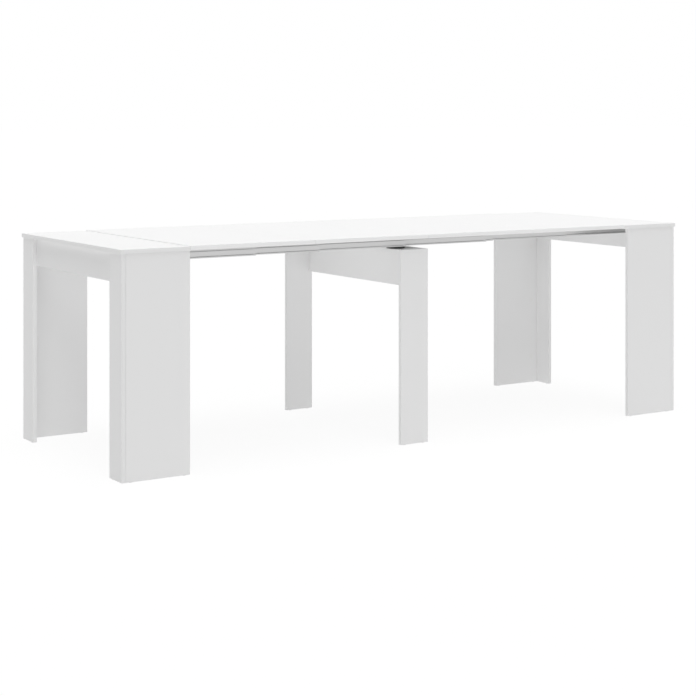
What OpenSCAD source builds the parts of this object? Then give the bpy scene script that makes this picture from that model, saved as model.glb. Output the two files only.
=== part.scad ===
// Extending dining table, drawn out to its full length with four loose leaves in place.
// +X runs along the table, +Y to its rear side and +Z up. The origin is on the floor under its centre.
// The left end is drawn once, and the right end is its mirror image. So are the front and rear sides.

/* [Table top] */
// Length of the left end top, from its outer edge to its seam, and of the right one without its extra
end_top_l = 260; // [250:1:300]
// Length of a loose leaf along the table
leaf_l = 497.5; // [455:0.5:540]
// Extra length of the right end top, which the last leaf is short of
right_top_extra = 19; // [0:1:30]
// Width of the table top
table_w = 900; // [800:1:1000]
// Height of the end tops above the floor
table_h = 781; // [740:1:800]
// Height of the leaves above the end tops, which is the thickness of the pads under them
leaf_rise = 2; // [1:0.5:4]
// Length of a pad along the table
pad_l = 20; // [12:1:30]
// Distance of a pad from the end of its leaf
pad_inset = 25; // [10:1:60]
// Thickness of every board
board_t = 15; // [15:0.5:18]
// Ease on the edges of every board
edge_ease = 0.6; // [0.3:0.1:1]
// Gap at each seam, which lets a leaf lift out
seam_gap = 0.5; // [0.3:0.1:1]
// Overhang of the top past the legs at the ends of the table
end_overhang = 5; // [2:1:12]
// Overhang of the top past the legs at the sides of the table
side_overhang = 3.5; // [2:0.5:12]

/* [End frames] */
// Width of the narrow panel that closes each leg at the end of the table
end_panel_w = 99; // [70:1:140]
// Height of the apron under each end top
apron_h = 102; // [90:1:140]
// Distance from the free edge of a leg to the seam above it
leg_setback = 0.5; // [0:0.1:4]
// Width of the shadow groove between a narrow panel and its wide one
groove_w = 0.4; // [0.2:0.1:0.8]
// Depth of the shadow groove
groove_d = 2; // [1:0.5:4]

/* [Middle frame] */
// Distance of the middle frame's right face from the table's centre
middle_x = 11; // [0:1:60]
// Width of a middle leg along the table
middle_leg_w = 123; // [110:1:160]
// Distance of the middle legs inside the outer faces of the end legs
middle_inset = 18; // [16:0.5:24]
// Height of the middle apron
middle_apron_h = 152; // [100:1:200]
// Depth of a shelf, from its leg towards the table's middle
shelf_l = 112; // [108:1:160]
// Diameter of the round puck on each shelf, which carries the rail
puck_d = 70; // [50:1:74]
// Height of a puck
puck_h = 7.5; // [6.5:0.5:14]
// Depth of the hollow under a puck
puck_hollow = 3.5; // [2:0.5:4]

/* [Telescopic rails] */
// Length of one rail stage
stage_l = 455; // [440:1:464]
// Width of a stage across the table, without its hooks
stage_w = 21; // [19:0.5:22]
// Height of a stage
stage_h = 30; // [27:0.5:34]
// Gap between the faces of two neighbouring stages
stage_gap = 1; // [0.6:0.1:1.5]
// Thickness of a stage's walls
wall_t = 2; // [1.6:0.1:2.4]
// Thickness of the lips that hold the hooks
lip_t = 2.5; // [2:0.1:3]
// Width of the mouth of a slot
mouth_h = 3.2; // [2.8:0.1:4]
// Depth of a slot behind its lip
slot_d = 5.5; // [5:0.1:6]
// Height of a slot behind its lip
slot_h = 7; // [6:0.1:8]
// Running clearance of the hooks in the slots
hook_clear = 0.3; // [0.2:0.05:0.4]
// Distance of the outermost stage inside the outer faces of the end legs
rail_inset = 24; // [20:1:34]
// Overlap of two stages that are drawn right out
drawn_lap = 60; // [50:1:90]
// Gap between a rail and the end tops and pads over it
slide_gap = 0.3; // [0.2:0.05:0.5]
// Distance from an apron to the end of its rail
rail_end_gap = 40; // [4:1:60]

/* [Fittings] */
// Diameter of a cam
cam_d = 15; // [12:0.5:16]
// Height of a cam
cam_t = 12; // [10:0.5:13]
// Distance from a joint to the centre of its cam
cam_reach = 34; // [24:1:40]
// Diameter of a cam bolt's shaft
bolt_d = 6; // [5:0.5:7]
// Diameter of a cam bolt's thread
thread_d = 5; // [4:0.5:5]
// Length of a cam bolt's thread
thread_l = 9; // [7:0.5:11]
// Diameter of the flat cap over a cam
cap_d = 18; // [17:0.5:20]
// Thickness of a cap
cap_t = 0.8; // [0.5:0.1:1.2]
// Diameter of a rail screw
screw_d = 4; // [3:0.5:4.5]
// Diameter of a rail screw's head
screw_head_d = 8; // [7:0.5:9]
// Height of a rail screw's head
screw_head_h = 2.6; // [2:0.1:3.5]
// Depth of a rail screw in the board over it
screw_bite = 10; // [8:0.5:12]
// Distance between the two screws of a puck
puck_screw_gap = 36; // [24:1:40]
// Diameter of a glide
glide_d = 13; // [10:0.5:14]
// Height of a glide under its leg
glide_h = 2; // [1.5:0.1:5]
// Diameter of a glide's nail
nail_d = 2.4; // [2:0.1:3]
// Depth of a glide's nail in its leg
nail_l = 14; // [10:1:20]
// Clearance of a fitting in its bore
fit_clear = 0.15; // [0.1:0.05:0.25]

/* [Hidden] */

leaf_count = 4;
stage_count = 7;
middle_stage = 4;
$fn = 48;
// Overrun of a cut past the face that it opens
over = 1;

// The top and the legs
table_l = 2 * end_top_l + leaf_count * leaf_l;
under_top = table_h - board_t;
under_leaf = under_top + leaf_rise;
leg_half_l = table_l / 2 - end_overhang;
leg_half_w = table_w / 2 - side_overhang;
leg_l = end_top_l - end_overhang - leg_setback;
leg_h = under_top - glide_h;

// The rails
stage_pitch = stage_w + stage_gap;
rail_z = under_top - slide_gap - stage_h;
slot_back = lip_t + slot_d;
mouth_z = wall_t + (slot_h - mouth_h) / 2;
chamber_u0 = slot_back + wall_t;
chamber_w = stage_w - wall_t - chamber_u0;
screw_u = chamber_u0 + chamber_w / 2;
hook_u = stage_gap + lip_t + hook_clear;
hook_reach = stage_gap + slot_back - hook_clear;

// The middle frame
middle_x0 = middle_x - middle_leg_w;
middle_half_w = leg_half_w - middle_inset;
middle_top = rail_z - slide_gap - puck_h;
shelf_x1 = middle_x - board_t;
shelf_y0 = board_t - middle_half_w;
puck_x = middle_x0 + puck_d / 2;
puck_y = stage_y(middle_stage) + screw_u;
puck_rim = 2.5;
puck_ease = 1.5;
puck_boss_wall = 3;

// The place of each stage along the table. The first, fourth and last stages are fixed to the frames.
// The second and third are drawn right out from the fourth, and the fifth and sixth from the last.
stroke = stage_l - drawn_lap;
first_x = 2 * board_t + rail_end_gap - leg_half_l;
middle_stage_overhang = 2;
middle_stage_x = middle_x0 - middle_stage_overhang;
last_x = -first_x - stage_l;
left_step = max(stroke, (middle_stage_x - first_x) / (middle_stage - 1));
right_step = max(stroke, (last_x - middle_stage_x) / (stage_count - middle_stage));
stage_x = [
  first_x,
  max(first_x, middle_stage_x - 2 * left_step),
  middle_stage_x - left_step,
  middle_stage_x,
  max(middle_stage_x, last_x - 2 * right_step),
  last_x - right_step,
  last_x
];

// Places of the fittings, each as a distance from an edge of its board or from the floor
low_leg_cam_z = 120;
high_leg_cam_drop = 40;
apron_cam_rise = 22;
apron_cam_drop = 62;
top_cam_inset = 55;
top_cam_edge = 35;
apron_top_cam_inset = 200;
middle_cam_rise = 25;
middle_cam_drop = 45;
shelf_cam_inset = 22;
shelf_cam_edge = 15;
shelf_apron_cam_edge = 20;
rail_screw_inset = 25;
rail_screw_edge = 30;
glide_inset = 20;
bolt_head_past_cam = 4;
cam_pocket = 5;
screw_face_ratio = 0.7;
leg_cam_z = [low_leg_cam_z, leg_h / 2, under_top - apron_h - high_leg_cam_drop];
apron_cam_z = [under_top - apron_h + apron_cam_rise, under_top - apron_cam_drop];
top_cam_x = [board_t + top_cam_inset, leg_l - top_cam_edge];
apron_top_cam_y = [apron_top_cam_inset, leg_half_w * 2 - apron_top_cam_inset];
middle_cam_z = [middle_top - middle_apron_h + middle_cam_rise, middle_top - middle_cam_drop];
shelf_leg_cam_x = [middle_x0 + shelf_cam_inset, shelf_x1 - shelf_cam_edge];
rail_screw_x = [2 * board_t + rail_end_gap + rail_screw_inset, leg_l - rail_screw_edge];

// Left and right ends of a leaf, before its share of the seam gaps
function leaf_x0(n) = -table_l / 2 + end_top_l + (n - 1) * leaf_l;
function leaf_x1(n) = leaf_x0(n + 1) - (n == leaf_count ? right_top_extra : 0);

// Outer face of a stage on the front side
function stage_y(n) = -leg_half_w + rail_inset + (n - 1) * stage_pitch;

white = "whitesmoke";
alloy = "silver";
dark_alloy = "dimgray";
zinc = "darkgray";
black = "black";

// Mirrors its children when asked to
module mirror_if(yes, normal) {
  if (yes) mirror(normal) children();
  else children();
}

// Places what is drawn at the left front leg, x inward from the end and y inward from the side
module at_corner(end, side) {
  mirror_if(end == "right", [1, 0, 0]) mirror_if(side == "rear", [0, 1, 0])
    translate([-leg_half_l, -leg_half_w, 0]) children();
}

// Places what is drawn for the front side
module at_side(side) {
  mirror_if(side == "rear", [0, 1, 0]) children();
}

module eased_rect(w, h, e = edge_ease) {
  polygon([[e, 0], [w - e, 0], [w, e], [w, h - e], [w - e, h], [e, h], [0, h - e], [0, e]]);
}

// A board with all its edges eased, its low corner at the origin
module board(l, w, h) {
  intersection() {
    linear_extrude(h) eased_rect(l, w);
    translate([0, w, 0]) rotate([90, 0, 0]) linear_extrude(w) eased_rect(l, h);
    rotate([90, 0, 90]) linear_extrude(l) eased_rect(w, h);
  }
}

// A cam fitting joins the edge of one board to the face of another. It is drawn with the joint at
// x = 0 and the cam's board at x > 0, bored from its face at z = board_t.
module cam_bores() {
  translate([cam_reach, 0, board_t - cam_t - fit_clear])
    cylinder(d = cam_d + 2 * fit_clear, h = cam_t + fit_clear + over);
  translate([-over, 0, board_t / 2]) rotate([0, 90, 0])
    cylinder(d = bolt_d + 2 * fit_clear, h = cam_reach + over);
}

module thread_bore() {
  translate([-thread_l - fit_clear, 0, board_t / 2]) rotate([0, 90, 0])
    cylinder(d = thread_d + 2 * fit_clear, h = thread_l + fit_clear + over);
}

module cam_fitting() {
  bolt_end = cam_reach - cam_d / 2 + bolt_head_past_cam;
  difference() {
    translate([cam_reach, 0, board_t - cam_t]) cylinder(d = cam_d, h = cam_t);
    translate([cam_reach - cam_d / 2 - over, 0, board_t / 2]) rotate([0, 90, 0])
      cylinder(d = bolt_d + 2 * fit_clear, h = cam_pocket + over);
  }
  translate([0, 0, board_t / 2]) rotate([0, 90, 0]) {
    cylinder(d = bolt_d, h = bolt_end);
    translate([0, 0, -thread_l]) cylinder(d = thread_d, h = thread_l);
  }
}

module cam_cap() {
  bevel = cap_t / 2;
  translate([cam_reach, 0, board_t]) {
    cylinder(d = cap_d, h = cap_t - bevel);
    translate([0, 0, cap_t - bevel]) cylinder(d1 = cap_d, d2 = cap_d - 2 * bevel, h = bevel);
  }
}

// The joints of an end frame, in corner coordinates
module at_leg_joints() {
  for (z = leg_cam_z) translate([board_t, 0, z]) rotate([-90, 0, 0]) children();
}

module at_apron_joints() {
  for (z = apron_cam_z) translate([board_t, board_t, z]) rotate([90, 0, 90]) children();
}

module at_side_top_joints() {
  for (x = top_cam_x) translate([x, 0, under_top]) rotate([-90, 90, 0]) children();
}

module at_apron_top_joints() {
  for (y = apron_top_cam_y) translate([board_t, y, under_top]) rotate([0, 90, 0]) children();
}

module at_end_joints(end) {
  for (side = ["front", "rear"]) at_corner(end, side) {
    at_leg_joints() children();
    at_apron_joints() children();
    at_side_top_joints() children();
  }
  at_corner(end, "front") at_apron_top_joints() children();
}

// The joints of the middle frame, on its front side
module at_middle_joints() {
  for (z = middle_cam_z) translate([shelf_x1, shelf_y0, z]) rotate([90, 0, 90]) children();
}

module at_shelf_leg_joints() {
  for (x = shelf_leg_cam_x) translate([x, shelf_y0, middle_top]) rotate([180, 0, 90]) children();
}

module at_shelf_apron_joint() {
  translate([shelf_x1, shelf_y0 + shelf_l - shelf_apron_cam_edge, middle_top])
    rotate([0, 180, 0]) children();
}

module at_all_middle_joints() {
  for (side = ["front", "rear"]) at_side(side) {
    at_middle_joints() children();
    at_shelf_leg_joints() children();
    at_shelf_apron_joint() children();
  }
}

// Glides stand under the middle of a board's edge
module glide() {
  foot = 0.5;
  cylinder(d1 = glide_d - 2 * foot, d2 = glide_d, h = foot);
  translate([0, 0, foot]) cylinder(d = glide_d, h = glide_h - foot);
  translate([0, 0, glide_h]) cylinder(d = nail_d, h = nail_l);
}

module nail_bore() {
  translate([0, 0, glide_h - over]) cylinder(d = nail_d + 2 * fit_clear, h = over + nail_l + fit_clear);
}

module at_end_panel_glides() {
  translate([board_t / 2, end_panel_w - glide_inset, 0]) children();
}

module at_side_panel_glides() {
  for (x = [board_t + glide_inset, leg_l - glide_inset]) translate([x, board_t / 2, 0]) children();
}

module at_middle_glides() {
  for (x = [middle_x0 + glide_inset, middle_x - glide_inset])
    translate([x, board_t / 2 - middle_half_w, 0]) children();
}

// A screw with its head under z = 0 and its shank above
module screw(l) {
  translate([0, 0, -screw_head_h])
    cylinder(d1 = screw_head_d * screw_face_ratio, d2 = screw_head_d, h = screw_head_h);
  cylinder(d = screw_d, h = l);
}

module at_end_rail_screws() {
  for (x = rail_screw_x) translate([x, rail_inset + screw_u, rail_z]) children();
}

module at_puck_screws() {
  for (dx = [-0.5, 0.5]) translate([puck_x + dx * puck_screw_gap, puck_y, 0]) children();
}

// End frames
module end_top(end) color(white) {
  top_l = end_top_l + (end == "right" ? right_top_extra : 0) - seam_gap / 2;
  difference() {
    mirror_if(end == "right", [1, 0, 0])
      translate([-table_l / 2, -table_w / 2, under_top]) board(top_l, table_w, board_t);
    for (side = ["front", "rear"]) at_corner(end, side) {
      at_side_top_joints() thread_bore();
      at_end_rail_screws() translate([0, 0, stage_h])
        cylinder(d = screw_d + 2 * fit_clear, h = slide_gap + screw_bite + fit_clear);
    }
    at_corner(end, "front") at_apron_top_joints() thread_bore();
  }
}

module end_panel(end, side) color(white) at_corner(end, side) difference() {
  translate([0, 0, glide_h]) board(board_t, end_panel_w, leg_h);
  at_leg_joints() thread_bore();
  at_end_panel_glides() nail_bore();
}

module side_panel(end, side) color(white) at_corner(end, side) difference() {
  translate([board_t, 0, glide_h]) board(leg_l - board_t, board_t, leg_h);
  at_leg_joints() cam_bores();
  at_side_top_joints() cam_bores();
  at_apron_joints() thread_bore();
  at_side_panel_glides() nail_bore();
  translate([board_t - over, -over, 0]) cube([over + groove_w, over + groove_d, under_top + over]);
}

module apron(end) color(white) difference() {
  at_corner(end, "front") translate([board_t, board_t, under_top - apron_h])
    board(board_t, 2 * (leg_half_w - board_t), apron_h);
  for (side = ["front", "rear"]) at_corner(end, side) at_apron_joints() cam_bores();
  at_corner(end, "front") at_apron_top_joints() cam_bores();
}

module end_cam_fittings(end) color(zinc) at_end_joints(end) cam_fitting();

module end_cam_caps(end) color(white) at_end_joints(end) cam_cap();

module end_glides(end) color(white) for (side = ["front", "rear"]) at_corner(end, side) {
  at_end_panel_glides() glide();
  at_side_panel_glides() glide();
}

module end_rail_screws(end) color(zinc) for (side = ["front", "rear"])
  at_corner(end, side) at_end_rail_screws() screw(stage_h + slide_gap + screw_bite);

// Middle frame
module middle_leg(side) color(white) at_side(side) difference() {
  translate([middle_x0, -middle_half_w, glide_h]) board(middle_leg_w, board_t, middle_top - glide_h);
  at_middle_joints() thread_bore();
  at_shelf_leg_joints() thread_bore();
  at_middle_glides() nail_bore();
}

module middle_apron() color(white) difference() {
  translate([shelf_x1, shelf_y0, middle_top - middle_apron_h])
    board(board_t, -2 * shelf_y0, middle_apron_h);
  for (side = ["front", "rear"]) at_side(side) {
    at_middle_joints() cam_bores();
    at_shelf_apron_joint() thread_bore();
  }
}

module shelf(side) color(white) at_side(side) difference() {
  translate([middle_x0, shelf_y0, middle_top - board_t]) board(shelf_x1 - middle_x0, shelf_l, board_t);
  at_shelf_leg_joints() cam_bores();
  at_shelf_apron_joint() cam_bores();
  at_puck_screws() translate([0, 0, middle_top - board_t - over])
    cylinder(d = screw_d + 2 * fit_clear, h = board_t + 2 * over);
}

// A puck is a turned cap with a hollow underside, and a boss round each of its screws
module puck(side) {
  r = puck_d / 2;
  boss_d = screw_d + 2 * puck_boss_wall;
  color(black) at_side(side) difference() {
    union() {
      translate([puck_x, puck_y, middle_top]) rotate_extrude($fn = 96) polygon([
        [0, puck_hollow], [r - puck_rim, puck_hollow], [r - puck_rim, 0], [r, 0],
        [r, puck_h - puck_ease], [r - puck_ease, puck_h], [0, puck_h]
      ]);
      at_puck_screws() translate([0, 0, middle_top]) cylinder(d = boss_d, h = puck_h - puck_ease);
    }
    at_puck_screws() translate([0, 0, middle_top - over])
      cylinder(d = screw_d + 2 * fit_clear, h = puck_h + 2 * over);
  }
}

module middle_cam_fittings() color(zinc) at_all_middle_joints() cam_fitting();

module middle_cam_caps() color(white) at_all_middle_joints() cam_cap();

module middle_glides() color(white) for (side = ["front", "rear"])
  at_side(side) at_middle_glides() glide();

module middle_rail_screws() color(zinc) for (side = ["front", "rear"])
  at_side(side) at_puck_screws() translate([0, 0, middle_top - board_t])
    screw(board_t + puck_h + slide_gap + 2 * wall_t);

// Section of a rail stage. Its outer face has an undercut slot near the top and one near the bottom,
// and the T-shaped hooks on its inner face run in the slots of the next stage.
module stage_section() {
  difference() {
    square([stage_w, stage_h]);
    for (up = [false, true]) translate([0, up ? stage_h : 0]) mirror_if(up, [0, 1]) {
      translate([-over, mouth_z]) square([lip_t + 2 * over, mouth_h]);
      translate([lip_t, wall_t]) square([slot_d, slot_h]);
    }
    translate([chamber_u0, wall_t]) square([chamber_w, stage_h - 2 * wall_t]);
  }
  for (up = [false, true]) translate([stage_w, up ? stage_h : 0]) mirror_if(up, [0, 1]) {
    translate([-wall_t / 2, mouth_z + hook_clear])
      square([wall_t / 2 + hook_reach, mouth_h - 2 * hook_clear]);
    translate([hook_u, wall_t + hook_clear])
      square([hook_reach - hook_u, slot_h - 2 * hook_clear]);
  }
}

module rail_stage(side, n) {
  color(n == stage_count ? dark_alloy : alloy) at_side(side) difference() {
    translate([stage_x[n - 1], stage_y(n), rail_z])
      rotate([90, 0, 90]) linear_extrude(stage_l) stage_section();
    if (n == 1) at_corner("left", "front") at_end_rail_screws() stage_bore(stage_h);
    if (n == stage_count) at_corner("right", "front") translate([0, (n - 1) * stage_pitch, 0])
      at_end_rail_screws() stage_bore(stage_h);
    if (n == middle_stage) at_puck_screws() translate([0, 0, rail_z]) stage_bore(wall_t);
  }
}

// A bore from under a stage, through to the height given
module stage_bore(h) {
  translate([0, 0, -over]) cylinder(d = screw_d + 2 * fit_clear, h = h + 2 * over);
}

// Leaves
module leaf(n) color(white)
  translate([leaf_x0(n) + seam_gap / 2, -table_w / 2, under_leaf])
    board(leaf_x1(n) - leaf_x0(n) - seam_gap, table_w, board_t);

// Pads under a leaf, near its four corners. Each lies across all the stages of a rail.
module leaf_pads(n) color(white) {
  pad_w = stage_y(stage_count) + stage_w - stage_y(1);
  corner = 3;
  for (x = [leaf_x0(n) + pad_inset, leaf_x1(n) - pad_inset - pad_l], side = ["front", "rear"])
    at_side(side) translate([x, stage_y(1), under_top])
      linear_extrude(leaf_rise) eased_rect(pad_l, pad_w, corner);
}

end_top("left");  // left_top
end_panel("left", "front");  // left_front_end_panel
side_panel("left", "front");  // left_front_side_panel
end_panel("left", "rear");  // left_rear_end_panel
side_panel("left", "rear");  // left_rear_side_panel
apron("left");  // left_apron
end_cam_fittings("left");  // left_cam_fittings
end_cam_caps("left");  // left_cam_caps
end_glides("left");  // left_glides
end_rail_screws("left");  // left_rail_screws
end_top("right");  // right_top
end_panel("right", "front");  // right_front_end_panel
side_panel("right", "front");  // right_front_side_panel
end_panel("right", "rear");  // right_rear_end_panel
side_panel("right", "rear");  // right_rear_side_panel
apron("right");  // right_apron
end_cam_fittings("right");  // right_cam_fittings
end_cam_caps("right");  // right_cam_caps
end_glides("right");  // right_glides
end_rail_screws("right");  // right_rail_screws
middle_leg("front");  // middle_front_leg
middle_leg("rear");  // middle_rear_leg
middle_apron();
shelf("front");  // middle_front_shelf
shelf("rear");  // middle_rear_shelf
puck("front");  // middle_front_puck
puck("rear");  // middle_rear_puck
middle_cam_fittings();
middle_cam_caps();
middle_glides();
middle_rail_screws();
rail_stage("front", 1);  // front_rail_1
rail_stage("front", 2);  // front_rail_2
rail_stage("front", 3);  // front_rail_3
rail_stage("front", 4);  // front_rail_4
rail_stage("front", 5);  // front_rail_5
rail_stage("front", 6);  // front_rail_6
rail_stage("front", 7);  // front_rail_7
rail_stage("rear", 1);  // rear_rail_1
rail_stage("rear", 2);  // rear_rail_2
rail_stage("rear", 3);  // rear_rail_3
rail_stage("rear", 4);  // rear_rail_4
rail_stage("rear", 5);  // rear_rail_5
rail_stage("rear", 6);  // rear_rail_6
rail_stage("rear", 7);  // rear_rail_7
leaf(1);  // leaf_1
leaf(2);  // leaf_2
leaf(3);  // leaf_3
leaf(4);  // leaf_4
leaf_pads(1);  // leaf_1_pads
leaf_pads(2);  // leaf_2_pads
leaf_pads(3);  // leaf_3_pads
leaf_pads(4);  // leaf_4_pads
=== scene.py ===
"""Looks for the extending dining table: white boards, aluminium rails, fittings, light and camera.

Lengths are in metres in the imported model's own frame: X along the table, Y to its rear side, Z up.
"""

import math

import bpy
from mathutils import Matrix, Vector


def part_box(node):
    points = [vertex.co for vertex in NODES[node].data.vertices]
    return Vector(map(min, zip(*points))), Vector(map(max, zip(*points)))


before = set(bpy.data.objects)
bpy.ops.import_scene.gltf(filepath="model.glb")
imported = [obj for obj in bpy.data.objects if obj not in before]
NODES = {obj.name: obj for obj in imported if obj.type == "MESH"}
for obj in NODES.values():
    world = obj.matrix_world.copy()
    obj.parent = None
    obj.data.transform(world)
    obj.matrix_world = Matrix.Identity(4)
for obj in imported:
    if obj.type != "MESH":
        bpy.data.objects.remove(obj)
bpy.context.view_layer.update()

# The words and numbers that the nodes' names are made of
ENDS = ("left", "right")
FRAMES = ENDS + ("middle",)
SIDES = ("front", "rear")
STAGES = range(1, 8)
LEAVES = range(1, 5)

# The photograph's view: a level camera whose picture is shifted down
CAMERA_PLACE = (-3.4976, -5.3891, 1.2278)
CAMERA_TURN = math.radians(-32.437)
CAMERA_LENS = 83.484
CAMERA_SENSOR = 36.0
CAMERA_SHIFT_DOWN = 0.3339
CAMERA_REACH = 400.0

# Light, as the brightness that a pure white surface would have when it faces the light
# Each lamp: its name, its level, where it shines from and how wide it is, in degrees
LAMPS = [
    ("overhead", 0.63, (0.0, -0.05, 1.0), 50),
    ("front_high", 0.145, (-0.142, -0.667, 0.731), 30),
    ("front_left", 0.09, (-0.66, -0.74, 0.13), 26),
    ("rear", 0.07, (0.0, 0.998, 0.07), 8),
    ("right", 0.03, (0.998, 0.0, 0.07), 8),
]
# The least width, in degrees, of a lamp that shows in reflections
BROAD_LAMP = 30
# The even light that the white surround gives to every matt surface
SURROUND_LIGHT = 0.235

# The floor, the share of light that it throws back, and its own light, which reaches the faces
# under the top
FLOOR_SIZE = 240.0
FLOOR_ALBEDO = 0.20
FLOOR_GLOW = 0.70
# What open floor gets from the lamps and the surround, and how dark full shade shows on it
FLOOR_LIGHT = 0.958
FLOOR_SHADE = 0.09

# Colours are linear
WHITE = (1.0, 1.0, 1.0)
WHITE_BOARD = (0.886, 0.886, 0.886)
WHITE_BAND = (0.878, 0.878, 0.878)
# The leaves' edge band is painted lighter than the boards: painted light that lifts the shade on the
# leaves' edge faces
LEAF_BAND_PAINTED_LIGHTER = (0.945, 0.945, 0.945)
BAND_SEAM = (0.66, 0.66, 0.66)
RAIL = (0.600, 0.600, 0.600)
ZINC = (0.640, 0.635, 0.610)
WHITE_PLASTIC = (0.874, 0.874, 0.868)
BLACK_PLASTIC = (0.022, 0.022, 0.023)

# Surfaces: grains are in cells to the metre, reliefs in metres and tones in shares of the colour
IOR = 1.5
NOISE_MIDDLE = (0.3, 0.7)

BAND_T = 0.0008
BAND_SEAM_T = 0.00025
BOARD_CLOUD = (2.2, 2.2, 2.2)
BOARD_TONES = (0.992, 1.006)
BOARD_GRAIN = (620.0, 620.0, 620.0)
BOARD_RELIEF = 0.00003
BOARD_ROUGHNESS = (0.40, 0.48)

# The die's lines run along X, so they change little that way
RAIL_LINES = (1.6, 900.0, 900.0)
RAIL_LINE_TONES = (0.97, 1.03)
RAIL_CLOUD = (3.0, 40.0, 40.0)
RAIL_CLOUD_TONES = (0.985, 1.015)
RAIL_TONES = (0.95, 1.05)
RAIL_RELIEF = 0.000012
RAIL_ROUGHNESS = (0.30, 0.39)

ZINC_GRAIN = (700.0, 700.0, 700.0)
ZINC_TONES = (0.90, 1.06)
ZINC_RELIEF = 0.00002
ZINC_ROUGHNESS = (0.26, 0.40)

PLASTIC_TONES = (0.985, 1.015)
WHITE_PLASTIC_GRAIN = (1400.0, 1400.0, 1400.0)
WHITE_PLASTIC_RELIEF = 0.00001
WHITE_PLASTIC_ROUGHNESS = (0.33, 0.44)
BLACK_PLASTIC_GRAIN = (900.0, 900.0, 900.0)
BLACK_PLASTIC_RELIEF = 0.00004
BLACK_PLASTIC_ROUGHNESS = (0.37, 0.48)


def scaled(colour, factor=1.0):
    """The colour, lighter or darker by a factor, with alpha."""
    return tuple(min(1.0, c * factor) for c in colour) + (1.0,)


class Nodes:
    """A short way to add and link the nodes of one material."""

    def __init__(self, name):
        self.material = bpy.data.materials.new(name)
        self.material.use_nodes = True
        self.tree = self.material.node_tree
        self.shader = self.tree.nodes["Principled BSDF"]

    def add(self, kind, **settings):
        node = self.tree.nodes.new(kind)
        for key, value in settings.items():
            setattr(node, key, value)
        return node

    def link(self, source, target):
        self.tree.links.new(source, target)

    def feed(self, socket, value):
        """Links a socket to the target, or sets a plain value on it."""
        if isinstance(value, bpy.types.NodeSocket):
            self.link(value, socket)
        else:
            socket.default_value = value

    def math(self, operation, a, b):
        node = self.add("ShaderNodeMath", operation=operation)
        self.feed(node.inputs[0], a)
        self.feed(node.inputs[1], b)
        return node.outputs[0]

    def place(self):
        """The point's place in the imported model's frame, which stays with its body."""
        return self.add("ShaderNodeTexCoord").outputs["Object"]

    def noise(self, grain, detail=2.0, roughness=0.5):
        """A noise whose grain is given for each axis."""
        stretched = self.add("ShaderNodeMapping")
        self.link(self.place(), stretched.inputs["Vector"])
        stretched.inputs["Scale"].default_value = grain
        node = self.add("ShaderNodeTexNoise")
        self.link(stretched.outputs["Vector"], node.inputs["Vector"])
        node.inputs["Scale"].default_value = 1.0
        node.inputs["Detail"].default_value = detail
        node.inputs["Roughness"].default_value = roughness
        return node.outputs["Fac"]

    def spread(self, noise, low, high):
        """Maps the middle part of a noise to the range from low to high."""
        node = self.add("ShaderNodeMapRange")
        self.link(noise, node.inputs["Value"])
        node.inputs["From Min"].default_value = NOISE_MIDDLE[0]
        node.inputs["From Max"].default_value = NOISE_MIDDLE[1]
        node.inputs["To Min"].default_value = low
        node.inputs["To Max"].default_value = high
        return node.outputs["Result"]

    def mix(self, share, a, b):
        """The first colour, with a share of the second."""
        node = self.add("ShaderNodeMix", data_type="RGBA")
        self.feed(node.inputs["Factor"], share)
        self.feed(node.inputs["A"], a)
        self.feed(node.inputs["B"], b)
        return node.outputs["Result"]

    def toned(self, share, colour, tones):
        """The colour, between two tones of itself."""
        return self.mix(share, scaled(colour, tones[0]), scaled(colour, tones[1]))

    def finish(self, colour, noise, roughness, relief):
        """Gives the surface its colour, and a gloss and a relief that follow one noise."""
        self.link(colour, self.shader.inputs["Base Color"])
        self.link(self.spread(noise, *roughness), self.shader.inputs["Roughness"])
        bump = self.add("ShaderNodeBump")
        bump.inputs["Strength"].default_value = 1.0
        bump.inputs["Distance"].default_value = relief
        self.link(noise, bump.inputs["Height"])
        self.link(bump.outputs["Normal"], self.shader.inputs["Normal"])

    def set(self, name, value):
        """Sets a value that is the same all over the surface."""
        self.shader.inputs[name].default_value = value


def edge_distance(n, name):
    """How far the point is from the nearest of the board's four edges."""
    low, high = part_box(name)
    size = high - low
    thin = min(range(3), key=lambda axis: size[axis])
    place = n.add("ShaderNodeSeparateXYZ")
    n.link(n.place(), place.inputs[0])
    nearest = None
    for axis in range(3):
        if axis == thin:
            continue
        from_low = n.math("SUBTRACT", place.outputs[axis], low[axis])
        from_high = n.math("SUBTRACT", high[axis], place.outputs[axis])
        nearer = n.math("MINIMUM", from_low, from_high)
        nearest = nearer if nearest is None else n.math("MINIMUM", nearest, nearer)
    return nearest


def board_material(name, band):
    """White melamine with a pearl finish, and the fine seam of the band along each edge."""
    n = Nodes("white_board_" + name)
    distance = edge_distance(n, name)
    in_band = n.math("LESS_THAN", distance, BAND_T)
    in_seam = n.math("COMPARE", distance, BAND_T)
    in_seam.node.inputs[2].default_value = BAND_SEAM_T / 2
    cloud = n.noise(BOARD_CLOUD, detail=3.0)
    face = n.toned(n.spread(cloud, 0.0, 1.0), WHITE_BOARD, BOARD_TONES)
    # On the leaves the band colour is painted lighter than the board, a painted light on their edges
    banded = n.mix(in_band, face, scaled(band))
    seamed = n.mix(in_seam, banded, scaled(BAND_SEAM))
    n.finish(seamed, n.noise(BOARD_GRAIN), BOARD_ROUGHNESS, BOARD_RELIEF)
    n.set("IOR", IOR)
    return n.material


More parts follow.
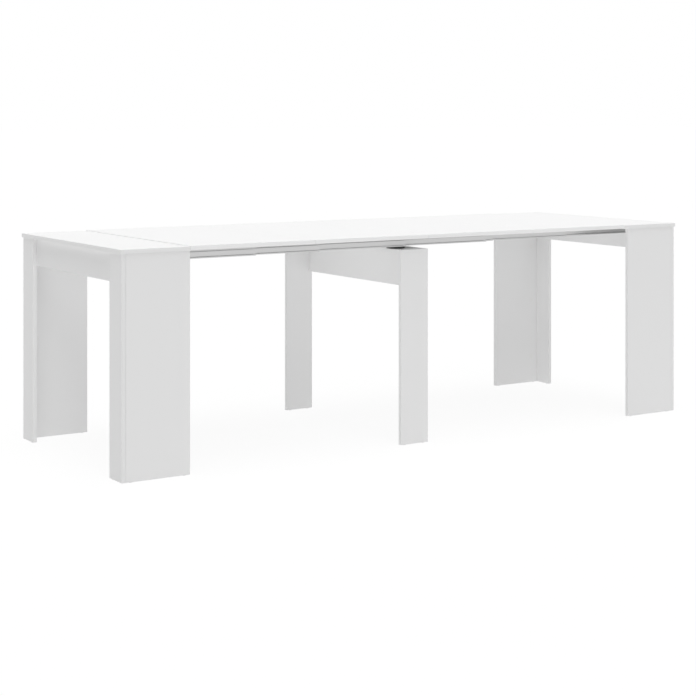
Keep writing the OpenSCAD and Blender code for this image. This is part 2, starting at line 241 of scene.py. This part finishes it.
def rail_material():
    """Satin anodised aluminium, with the fine lines that the extrusion die leaves along it."""
    n = Nodes("rail")
    lines = n.noise(RAIL_LINES, detail=3.0, roughness=0.6)
    cloud = n.noise(RAIL_CLOUD)
    low, high = RAIL_TONES
    tone = n.math("MULTIPLY", n.spread(lines, *RAIL_LINE_TONES), n.spread(cloud, *RAIL_CLOUD_TONES))
    share = n.math("DIVIDE", n.math("SUBTRACT", tone, low), high - low)
    n.finish(n.toned(share, RAIL, RAIL_TONES), lines, RAIL_ROUGHNESS, RAIL_RELIEF)
    n.set("Metallic", 1.0)
    return n.material


def zinc_material():
    """Die-cast and plated steel: bright, slightly mottled."""
    n = Nodes("zinc_steel")
    spots = n.noise(ZINC_GRAIN, detail=3.0)
    mottled = n.toned(n.spread(spots, 0.0, 1.0), ZINC, ZINC_TONES)
    n.finish(mottled, spots, ZINC_ROUGHNESS, ZINC_RELIEF)
    n.set("Metallic", 1.0)
    return n.material


def plastic_material(name, colour, grain, roughness, relief):
    """Moulded plastic with the fine grain of its mould."""
    n = Nodes(name)
    grains = n.noise(grain)
    mottled = n.toned(n.spread(grains, 0.0, 1.0), colour, PLASTIC_TONES)
    n.finish(mottled, grains, roughness, relief)
    n.set("IOR", IOR)
    return n.material


def dress(names, material):
    for name in names:
        mesh = NODES[name].data
        mesh.materials.clear()
        mesh.materials.append(material)


def frame_board_names():
    """The boards of the two ends and of the middle frame, without the leaves."""
    for end in ENDS:
        yield f"{end}_top"
        yield f"{end}_apron"
        for side in SIDES:
            yield f"{end}_{side}_end_panel"
            yield f"{end}_{side}_side_panel"
    for side in SIDES:
        yield f"middle_{side}_leg"
        yield f"middle_{side}_shelf"
    yield "middle_apron"


def dress_all():
    for name in frame_board_names():
        dress([name], board_material(name, WHITE_BAND))
    for n in LEAVES:
        # The leaves get their band painted lighter, a painted light on their edges
        dress([f"leaf_{n}"], board_material(f"leaf_{n}", LEAF_BAND_PAINTED_LIGHTER))
    dress([f"{side}_rail_{n}" for side in SIDES for n in STAGES], rail_material())
    zinc = zinc_material()
    white = plastic_material(
        "white_plastic",
        WHITE_PLASTIC,
        WHITE_PLASTIC_GRAIN,
        WHITE_PLASTIC_ROUGHNESS,
        WHITE_PLASTIC_RELIEF,
    )
    black = plastic_material(
        "black_plastic",
        BLACK_PLASTIC,
        BLACK_PLASTIC_GRAIN,
        BLACK_PLASTIC_ROUGHNESS,
        BLACK_PLASTIC_RELIEF,
    )
    for part in FRAMES:
        dress([f"{part}_cam_fittings", f"{part}_rail_screws"], zinc)
        dress([f"{part}_cam_caps", f"{part}_glides"], white)
    dress([f"leaf_{n}_pads" for n in LEAVES], white)
    dress([f"middle_{side}_puck" for side in SIDES], black)


def mixed(tree, share, a, b):
    """Two shaders, mixed by a socket that gives the share of the second."""
    node = tree.nodes.new("ShaderNodeMixShader")
    tree.links.new(share, node.inputs[0])
    tree.links.new(a, node.inputs[1])
    tree.links.new(b, node.inputs[2])
    return node.outputs[0]


def larger(tree, a, b):
    node = tree.nodes.new("ShaderNodeMath")
    node.operation = "MAXIMUM"
    tree.links.new(a, node.inputs[0])
    tree.links.new(b, node.inputs[1])
    return node.outputs[0]


def seen_directly(tree):
    """1 for camera, glossy and transmission rays, and 0 for the rays that carry light."""
    path = tree.nodes.new("ShaderNodeLightPath")
    camera_or_glossy = larger(tree, path.outputs["Is Camera Ray"], path.outputs["Is Glossy Ray"])
    return larger(tree, camera_or_glossy, path.outputs["Is Transmission Ray"])


def lit_surface(tree, albedo, glow):
    """A matt white surface of one albedo that also gives some light of its own."""
    matt = tree.nodes.new("ShaderNodeBsdfDiffuse")
    matt.inputs["Color"].default_value = scaled(WHITE, albedo)
    own = tree.nodes.new("ShaderNodeEmission")
    own.inputs["Strength"].default_value = glow
    both = tree.nodes.new("ShaderNodeAddShader")
    tree.links.new(matt.outputs[0], both.inputs[0])
    tree.links.new(own.outputs[0], both.inputs[1])
    return both.outputs[0]


def make_floor():
    """A white floor with a faint shadow. It gives light of its own, and is clear from below."""
    half = FLOOR_SIZE / 2
    mesh = bpy.data.meshes.new("floor")
    corners = [(-half, -half, 0), (half, -half, 0), (half, half, 0), (-half, half, 0)]
    mesh.from_pydata(corners, [], [(0, 1, 2, 3)])
    floor = bpy.data.objects.new("floor", mesh)
    bpy.context.scene.collection.objects.link(floor)
    material = bpy.data.materials.new("floor")
    material.use_nodes = True
    tree = material.node_tree
    tree.nodes.clear()
    lighting = lit_surface(tree, FLOOR_ALBEDO, FLOOR_GLOW)
    seen = lit_surface(tree, FLOOR_SHADE / FLOOR_LIGHT, 1.0 - FLOOR_SHADE)
    from_above = mixed(tree, seen_directly(tree), lighting, seen)
    clear = tree.nodes.new("ShaderNodeBsdfTransparent")
    face = tree.nodes.new("ShaderNodeNewGeometry")
    surface = mixed(tree, face.outputs["Backfacing"], from_above, clear.outputs[0])
    output = tree.nodes.new("ShaderNodeOutputMaterial")
    tree.links.new(surface, output.inputs["Surface"])
    mesh.materials.append(material)


def background(tree, strength):
    node = tree.nodes.new("ShaderNodeBackground")
    node.inputs["Color"].default_value = scaled(WHITE)
    node.inputs["Strength"].default_value = strength
    return node.outputs[0]


def make_world():
    """A surround that shows as plain white, and gives a part of the light."""
    world = bpy.data.worlds.new("studio")
    bpy.context.scene.world = world
    world.use_nodes = True
    tree = world.node_tree
    tree.nodes.clear()
    lighting = background(tree, SURROUND_LIGHT)
    seen = background(tree, 1.0)
    output = tree.nodes.new("ShaderNodeOutputWorld")
    surface = mixed(tree, seen_directly(tree), lighting, seen)
    tree.links.new(surface, output.inputs["Surface"])


def make_lamps():
    """A broad lamp overhead, two from the camera's side, and low ones from the rear and the right."""
    for name, level, place, width in LAMPS:
        data = bpy.data.lights.new(name, "SUN")
        data.energy = level * math.pi
        data.angle = math.radians(width)
        lamp = bpy.data.objects.new(name, data)
        # Metal and gloss mirror the white surround, and the broad lamps alone give highlights
        lamp.visible_glossy = width >= BROAD_LAMP
        lamp.rotation_mode = "QUATERNION"
        lamp.rotation_quaternion = Vector(place).normalized().to_track_quat("Z", "Y")
        bpy.context.scene.collection.objects.link(lamp)


def make_camera():
    data = bpy.data.cameras.new("camera")
    data.sensor_width = CAMERA_SENSOR
    data.lens = CAMERA_LENS
    data.shift_y = -CAMERA_SHIFT_DOWN
    data.clip_end = CAMERA_REACH
    camera = bpy.data.objects.new("camera", data)
    camera.location = CAMERA_PLACE
    camera.rotation_euler = (math.pi / 2, 0.0, CAMERA_TURN)
    bpy.context.scene.collection.objects.link(camera)
    bpy.context.scene.camera = camera


make_camera()
dress_all()
make_floor()
make_world()
make_lamps()
bpy.context.scene.view_settings.view_transform = "Standard"
